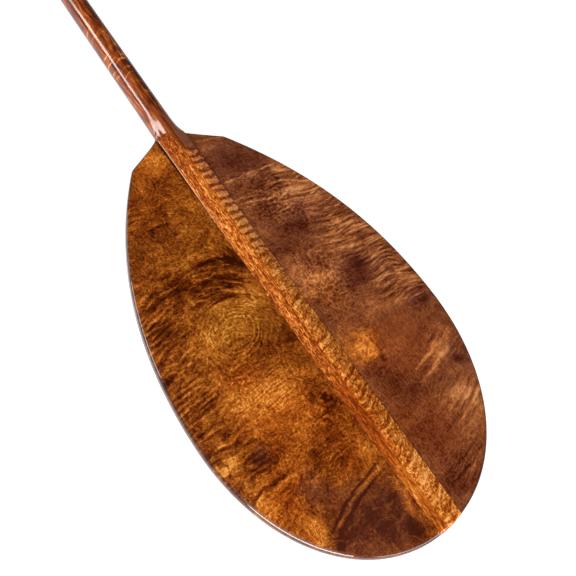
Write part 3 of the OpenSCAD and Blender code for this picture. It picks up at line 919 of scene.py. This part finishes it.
def right_board():
    mat, shifted, (x, y, z), warped, (bent_x, bent_y) = board("koa_right", (311.0, 57.0, 19.0))
    tone = mat.blobs(warped, RIGHT_TONE, 0.37)

    # flow leans one way up to mid-board and the other way towards the tip
    out = mat.math("MAXIMUM", y - 34, 0.0)
    lean = mat.lerp(mat.step(262, 312, x), -0.11, 0.25)
    flow = mat.mul_add(out, lean, (bent_x + x) * 0.5)
    flow = mat.mul_add(mat.math("SINE", y * 0.11), 0.9, flow)
    at_flow = (flow, bent_y, z)
    curl = mat.streaks(at_flow, 3.8, 30.0)
    broad = mat.streaks(at_flow, 11.0, 60.0)
    curly = mat.mask(warped, RIGHT_CURL, 0.08)
    calm = mat.mask(warped, RIGHT_CALM)
    light, dark = mat.crests(flow, x, bent_y, 5.8, seed=31.0, run=20.0, low=0.3, high=0.98,
                             wobble=2.0)
    wander = mat.mul_add(mat.noise(mat.vec(x / 34.0, y / 50.0, 8.0), 1.0), 12.0, flow)
    veins = mat.ridged(wander / 8.0, bent_y / 52.0, 3.0)
    tipward = mat.step(292, 314, x)
    soft = mat.two_level(mat.streaks((flow + 5.0, bent_y, z), 8.5, 60.0), 0.24)
    live = curly * (1.0 - calm * 0.7) * (1.0 - tipward * 0.55)
    (close_light,) = mat.crests(flow, x, bent_y, 3.6, seed=47.0, run=14.0, wobble=2.4,
                                signs=(1,))
    mottle = mat.streaks((x + 211, y, z), 9.0, 9.0, detail=2.0, rough=0.6)
    mottled = mat.mask(warped, RIGHT_MOTTLE, 0.25)
    net = mat.ridged(bent_x / 4.6, bent_y / 5.6, z / 9.0, detail=2.0, rough=0.6)
    clouds = mat.streaks((x + 97, y - 30, z), 34.0, 30.0)
    tone = mat.layer(
        tone, (curl * curly, 0.66), (broad, mat.mul_add(curly, 0.45, 0.22)),
        (soft * curly * tipward, 0.34), (light * live, 0.24),
        (mat.step(0.14, 0.54, veins) * live, 0.22), (veins * live, 0.08), (dark * live, -0.14),
        (close_light * (0.25 + live), 0.16), (mottle, mat.mul_add(mottled, 0.30, 0.20)),
        (net * mottled, 0.32), (clouds, 0.38))
    tone = mat.lines(tone, bent_x, y, RIGHT_LINES)

    fleck = fibre(mat, (flow / 2.4, bent_y / 8.0, z / 3.0),
                  (bent_x / 7.0, bent_y / 2.4, z / 3.0 + 7.0),
                  shifted, (24, 19, 20), live * 0.25, 0.08)
    strength = mat.mul_add(calm, -0.45, 1.0)
    grit = mat.streaks((x, y, z), 1.2, 1.5, 2.0, detail=0.0)
    tone = mat.layer(tone, (fleck * strength, 0.17), (grit * strength, 0.46))
    color = mat.ramp(mat.clamp(tone), [
        (0.0, 62, 20, 8), (0.10, 80, 30, 12), (0.22, 97, 44, 21), (0.34, 111, 57, 30),
        (0.46, 126, 68, 37), (0.60, 149, 84, 44), (0.80, 182, 111, 62), (1.0, 212, 145, 88)])
    color = mat.tint(color, mat.mask(warped, RIGHT_GOLD) * 0.95, 1.18, 1.0, 0.42)
    color = mat.tint(color, mat.mask(warped, RIGHT_RED) * 0.9, 1.10, 0.90, 0.66)
    # bluer tint in spots: painted reflection haze
    color = mat.tint(color, mat.mask(warped, RIGHT_COOL_HAZE) * 0.7, 0.92, 0.98, 1.45)
    return lacquered(mat, rim_shade(mat, z, color), fleck, curl)


# ---------------------------------------------------------------- spine and shaft wood
SPINE_TONE = [(108, 0, 60, 1, 0, 0.10), (60, 0, 24, 1, 0, 0.06), (330, 0, 70, 1, 0, -0.16),
              (408, 0, 40, 1, 0, 0.12)]     # spots along x only
SHAFT_RUNGS = ((-57, 0.42), (-70.5, 0.30), (-102, 0.22), (-112, 0.18))  # x, amount


def ladder_half(mat, x, bent, z, dash):
    """Tone of the spine's right half: rungs across the grain."""
    bent_x, bent_y, bent_z = bent
    short = mat.streaks(bent, 1.9, 4.5, 5.0)
    slant = mat.step(120, 230, x) * 0.42 + 0.02
    rung_x = mat.mul_add(bent_y, slant, bent_x) + (bent_y - 8) * (bent_y - 8) * 0.012
    rootward = mat.step(190, 110, x)
    phase = mat.layer(rung_x, (mat.noise(mat.vec(rung_x / 17.0, 4.0, 2.0)), 9.0),
                      (mat.noise(mat.vec(rung_x / 5.0, bent_y / 6.0, 2.0)), 2.2))
    wave = mat.math("SINE", phase * (2 * math.pi / 9.0))
    bars = mat.step(-0.75, 0.15, wave)
    peaks = mat.step(0.2, 0.95, wave)
    some = mat.step(0.44, 0.60, mat.noise(mat.vec(rung_x / 12.0, 7.0, 1.0)))
    some = mat.lerp(rootward, some, 1.0)
    fine = mat.streaks((rung_x + 9, bent_y, z), 1.5, 4.5, 4.0, detail=0.0)
    return mat.layer(
        0.55, ((bars - 0.75) * some, mat.mul_add(rootward, 0.14, 0.34)), (peaks * some, 0.14),
        (mat.streaks((rung_x + 31, bent_y, bent_z), 3.2, 11.0, 14.0), 0.95),
        (mat.two_level(short, 0.14), mat.mul_add(rootward, -0.10, 0.30)),
        (mat.two_level(fine, 0.14), mat.mul_add(rootward, -0.08, 0.26)),
        (mat.two_level(dash), 0.36),
        (mat.ridged(bent_x / 6.0, bent_y / 3.0, bent_z / 5.0, rough=0.6), 0.20))


def shaft_color(mat, point, x, y, bent):
    """Dark red-brown with long dark streaks, orange flecks and a few light rungs."""
    bent_x, bent_y, bent_z = bent
    rungs = mat.streaks((bent_x + bent_y * 0.35, bent_y, bent_z), 3.4, 16.0, 16.0, detail=0.5)
    curly = mat.step(0.5, 0.66, mat.noise(mat.scaled(point, (38, 50, 50))))
    tone = mat.layer(
        0.42, (mat.streaks(bent, 48.0, 3.2, 3.2, detail=2.0, rough=0.6), 1.6),
        (mat.streaks((x, bent_y, bent_z), 9.0, 1.2, 1.2), 0.95),
        (mat.streaks(bent, 34.0, 9.0, 9.0), 0.7),
        (mat.math("MAXIMUM", rungs - 0.06, 0.0) * curly, 3.2))
    for rung_x, amount in SHAFT_RUNGS:
        off = mat.math("ABSOLUTE", bent_x - bent_y * 0.12 - rung_x)
        tone = mat.mul_add(mat.step(2.6, 0.4, off) * mat.step(-1, 4, y), amount, tone)
    return mat.ramp(mat.clamp(tone), [
        (0.0, 54, 14, 2), (0.16, 76, 26, 6), (0.34, 103, 41, 12), (0.52, 130, 59, 19),
        (0.72, 164, 85, 32), (1.0, 214, 132, 66)])


def spine_wood():
    """Spine, straight-grained on the left and laddered on the right, and the darker shaft."""
    mat = new_material("koa_spine")
    point = mat.point()
    x, y, z = mat.sep(point)
    bent = mat.sep(mat.vector("ADD", point, mat.warp(point, (42, 11, 11), (7, 5, 5))))
    bent_x, bent_y, bent_z = bent
    grain = mat.streaks(bent, 15.0, 1.5, 1.8, detail=2.0, rough=0.6)
    fine = mat.streaks((x, y, z), 5.0, 0.8, 1.0)
    thread = mat.streaks(bent, 6.5, 1.2, 1.5, detail=0.0)
    dash = mat.streaks((x, y, z), 2.6, 1.0, 1.3, detail=0.0)
    dark_dash = mat.streaks((x + 60, bent_y, z), 9.0, 0.9, 1.3, detail=0.0)
    tipward = mat.step(285, 305, x)
    left = mat.layer(
        0.425, (grain, 0.92), (mat.streaks(bent, 60.0, 4.0, 5.0), 0.50),
        (mat.ridged(bent_x / 9.0, bent_y / 2.8, bent_z / 4.0, rough=0.7),
         mat.mul_add(tipward, -0.10, 0.26)),
        (mat.two_level(thread, 0.16), mat.mul_add(tipward, -0.12, 0.32)),
        (mat.two_level(dash, 0.14), mat.mul_add(tipward, -0.14, 0.38)),
        (mat.step(0.12, 0.22, dark_dash), mat.mul_add(tipward, 0.3, -0.46)),
        (mat.ridged(bent_x / 7.0, bent_y / 5.0, bent_z / 6.0, rough=0.6), 0.12))
    edge = mat.step(-1.6, 1.4, bent_y + 0.6 + mat.step(160, 240, x) * 4.0)
    laddered = mat.step(10, 22, x + y * 0.4)
    right = mat.lerp(laddered, mat.mul_add(grain, 0.35, 0.26),
                     ladder_half(mat, x, bent, z, dash))
    tone = mat.layer(mat.lerp(edge, left - 0.07, right),
                     (mat.blobs(mat.vec(x, 0.0, 0.0), SPINE_TONE), 1.0),
                     (mat.step(46, 2, x), -0.21))
    color = mat.ramp(mat.clamp(tone), [
        (0.0, 104, 40, 3), (0.12, 124, 52, 6), (0.28, 146, 66, 12), (0.44, 166, 83, 20),
        (0.60, 188, 104, 34), (0.78, 212, 130, 54), (1.0, 240, 168, 92)])
    redder = mat.step(285, 300, x) * mat.step(388, 366, x) * mat.step(1, -3, bent_y)
    color = mat.tint(color, redder * 0.45, 1.0, 0.80, 0.62)
    # pink tint on the spine's right half near the throat: painted sheen
    pink_sheen = mat.step(-2, 6, bent_y) * mat.step(150, 60, x)
    color = mat.tint(color, pink_sheen * 0.9, 1.16, 0.98, 1.12)
    shaft_wood = shaft_color(mat, point, x, y, bent)

    # dark side walls (painted shade), pale left arris (painted highlight), dark line at the right
    # edge (painted shade), pinkish facet at the root (painted sheen)
    (normal,) = mat.outputs("NewGeometry", "Normal")
    sideways = mat.math("ABSOLUTE", mat.sep(normal)[1])
    # side-facing walls stained near-black: painted shade of the crevice beside the wings, with
    # some dark glue
    wall = mat.step(0.86, 0.97, sideways) * mat.step(-9, -5, x) * mat.step(449, 444, x)
    color = mat.stain(color, wall * 0.94, 22, 8, 3)
    # pale line along the left upper arris near the throat: painted highlight
    arris = (mat.step(-14.7, -15.3, y) * mat.step(-5, -2, x) * mat.step(150, 60, x)
             * mat.step(0.8, 0.6, sideways))
    color = mat.stain(color, arris * 0.55, 226, 172, 118)
    # dark line along the spine's right edge: painted shade of the step down to the right wing
    right_edge_shade = mat.step(15.1, 15.7, y) * mat.step(-5, -2, x)
    color = mat.stain(color, right_edge_shade * 0.7, 52, 22, 8)
    # smooth pinkish-brown patch on the right flank at the root: painted sheen
    facet = mat.step(-2, 3, bent_y) * mat.step(24, 8, x + y * 0.4)
    color = mat.stain(color, facet * 0.75, 160, 86, 50)
    color = mat.mix(mat.step(2, -12, x), color, shaft_wood)
    # the same painted sheen carried onto the shaft's flare
    color = mat.stain(color, facet * mat.step(-34, -16, x) * 0.55, 160, 86, 50)
    # dark line along the crest near the throat: painted shade
    crest_shade_line = mat.line(y, x, width=1.9, y0=-30, y1=26, offset=0.9, slope=0.03)
    color = mat.stain(color, crest_shade_line * 0.85, 70, 26, 8)
    return lacquered(
        mat, color, fine, grain, coat=1.0 - wall * mat.step(448, 440, x) * 0.85,
        haze=(mat.mul_add(mat.step(4, -20, x), 0.075, 0.015)
              + mat.step(3, -4, x) * mat.step(-46, -34, x) * 0.06))


# ---------------------------------------------------------------- grip and small parts
def grip_wood():
    """Dark red-brown curly wood with the grain along the handle."""
    mat = new_material("koa_grip")
    point = mat.point()
    x, y, z = mat.sep(mat.vector("ADD", point, mat.warp(point, (18, 30, 18), (8, 10, 8))))
    at = (y, x, z)
    curl = mat.streaks(at, 4.2, 17.0, 17.0)
    fleck = mat.streaks(at, 4.0, 0.9, 0.9)
    tone = mat.layer(0.36, (mat.streaks(at, 34.0, 2.0, 2.0, detail=2.0, rough=0.6), 0.9),
                     (mat.streaks(at, 60.0, 8.0, 8.0), 0.6), (curl, 0.75), (fleck, 0.45))
    color = mat.ramp(mat.clamp(tone), [
        (0.0, 48, 14, 4), (0.2, 74, 27, 9), (0.4, 100, 43, 16), (0.6, 128, 62, 26),
        (0.8, 162, 92, 44), (1.0, 200, 132, 76)])
    return lacquered(mat, color, fleck, curl)


def pale_wood(name, axis):
    """Straight-grained pale hardwood with pores; axis is the grain direction."""
    mat = new_material(name)
    point = mat.point()
    grain_size, pore_size = [1.4] * 3, [0.5] * 3
    grain_size[axis], pore_size[axis] = 26, 5
    bent = mat.vector("ADD", point, mat.warp(point, (12, 12, 12), (3, 3, 3)))
    grain = mat.noise(mat.scaled(bent, grain_size), 2.0, 0.6)
    pore = mat.noise(mat.scaled(point, pore_size))
    color = mat.ramp(mat.clamp(mat.mul_add(grain - 0.5, 1.5, 0.5)), [
        (0.0, 150, 108, 62), (0.45, 190, 146, 92), (1.0, 222, 182, 128)])
    color = mat.stain(color, mat.step(0.66, 0.76, pore) * 0.6, 104, 66, 34)
    return lacquered(mat, color, grain - 0.5, pore - 0.5)


def give(ob, material):
    ob.data.materials.clear()
    ob.data.materials.append(material)


give(wing_left, left_board())
give(wing_right, right_board())
give(shaft, spine_wood())
give(grip, grip_wood())
for name, axis in (("spline_left", 0), ("spline_right", 0), ("grip_pin", 2), ("tenon_wedge", 0)):
    give(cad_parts[name], pale_wood("pale_" + name, axis))

# ---------------------------------------------------------------- floor, metres
FLOOR_Z, FLOOR_HALF = -0.0054, 30


def floor_material():
    """Glowing pale floor, seen from above only, dimmer in reflections of rays heading +y."""
    mat = new_material("floor_pale")
    incoming, position, backfacing = mat.outputs(
        "NewGeometry", "Incoming", "Position", "Backfacing")
    is_glossy, is_camera = mat.outputs("LightPath", "Is Glossy Ray", "Is Camera Ray")
    dimmed = 1.0 - is_glossy * mat.step(-0.05, -0.45, mat.sep(incoming)[1]) * 0.9
    x, y, _ = mat.sep(position)
    away = mat.step(1.0, 5.0, mat.math("SQRT", mat.mul_add(x, x, y * y)))
    glow = mat.value("Emission", {0: (1, 0.995, 0.99, 1),
                                  1: dimmed * 0.80 + away * is_camera * 0.30})
    diffuse = mat.value("BsdfDiffuse", {0: (0.36, 0.36, 0.36, 1)})
    top = mat.value("AddShader", {0: glow, 1: diffuse})
    return mat.finish(mat.value("MixShader", {
        0: backfacing, 1: top, 2: mat.value("BsdfTransparent")}))


floor_mesh = bpy.data.meshes.new("floor")
floor_mesh.from_pydata([(x * FLOOR_HALF, y * FLOOR_HALF, FLOOR_Z)
                        for x, y in ((-1, -1), (1, -1), (1, 1), (-1, 1))], [], [(0, 1, 2, 3)])
floor = bpy.data.objects.new("floor", floor_mesh)
scene.collection.objects.link(floor)
floor_mesh.materials.append(floor_material())


# ---------------------------------------------------------------- world and lights
def build_world():
    """White to the camera; otherwise dim, brighter towards -y and in one lobe."""
    scene.world = bpy.data.worlds.new("studio")
    sky = Graph(scene.world)
    (is_camera,) = sky.outputs("LightPath", "Is Camera Ray")
    (direction,) = sky.outputs("TexCoord", "Generated")
    fade = sky.value("MapRange", {"Value": sky.sep(direction)[1], "From Min": -1.0,
                                  "From Max": 0.35, "To Min": 0.22, "To Max": 0.006})
    lobe_axis = Vector((-0.58, 0.78, 0.16)).normalized()
    toward = sky.vector("DOT_PRODUCT", direction, lobe_axis, "Value")
    light = fade + sky.step(0.86, 0.97, toward, top=0.13)
    strength = sky.value("Mix", {0: is_camera, 2: light, 3: 1.0}, data_type="FLOAT")
    sky.finish(sky.value("Background", {0: (1, 1, 1, 1), 1: strength}), "OutputWorld")


build_world()

SOFTBOXES = (       # name, place, target, size x and y (metres), watts, seen in reflections
    ("fill_overhead", (-0.1, -0.3, 2.3), (-0.1, 0, 0), 2.6, 2.2, 36, False),
    ("strip_left", (-1.12, -1.45, 0.84), (-0.2, 0, 0), 0.95, 0.50, 20, True),
    ("box_shaft", (-1.70, -1.00, 0.40), (-0.25, 0, 0), 0.6, 0.5, 5, True),
    ("box_near", (1.00, -0.95, 0.90), (0.1, -0.05, 0), 1.2, 1.1, 9, True),
    ("strip_rim", (1.25, -1.12, 0.40), (0.1, -0.05, 0), 1.5, 0.50, 48, True),
    ("strip_tip", (1.55, 0.30, 0.34), (0.1, 0.0, 0), 1.1, 0.36, 9, True))
for name, place, target, size_x, size_y, power, glossy in SOFTBOXES:
    light = bpy.data.lights.new(name, "AREA")
    light.shape, light.size, light.size_y, light.energy = "RECTANGLE", size_x, size_y, power
    box = bpy.data.objects.new(name, light)
    scene.collection.objects.link(box)
    box.location = place
    box.rotation_euler = (Vector(target) - Vector(place)).to_track_quat("-Z", "Y").to_euler()
    box.visible_glossy = glossy
    box.visible_camera = False

scene.view_settings.view_transform = "Standard"

# ---------------------------------------------------------------- camera
CAMERA_AT = (0.085068, -0.3193346, 0.5324504)
CAMERA_RIGHT = Vector((0.57935226, 0.74372298, 0.33350725))
CAMERA_DOWN = Vector((0.79261881, -0.41867886, -0.44324195))
CAMERA_FORWARD = Vector((-0.19001679, 0.52113735, -0.83205137))

lens = bpy.data.cameras.new("camera")
lens.sensor_fit, lens.sensor_width, lens.lens = "HORIZONTAL", 36.0, 40.625
lens.clip_start, lens.clip_end = 0.02, 50
camera = bpy.data.objects.new("camera", lens)
scene.collection.objects.link(camera)
pose = Matrix((CAMERA_RIGHT, -CAMERA_DOWN, -CAMERA_FORWARD)).transposed().to_4x4()
pose.translation = CAMERA_AT
camera.matrix_world = pose
scene.camera = camera
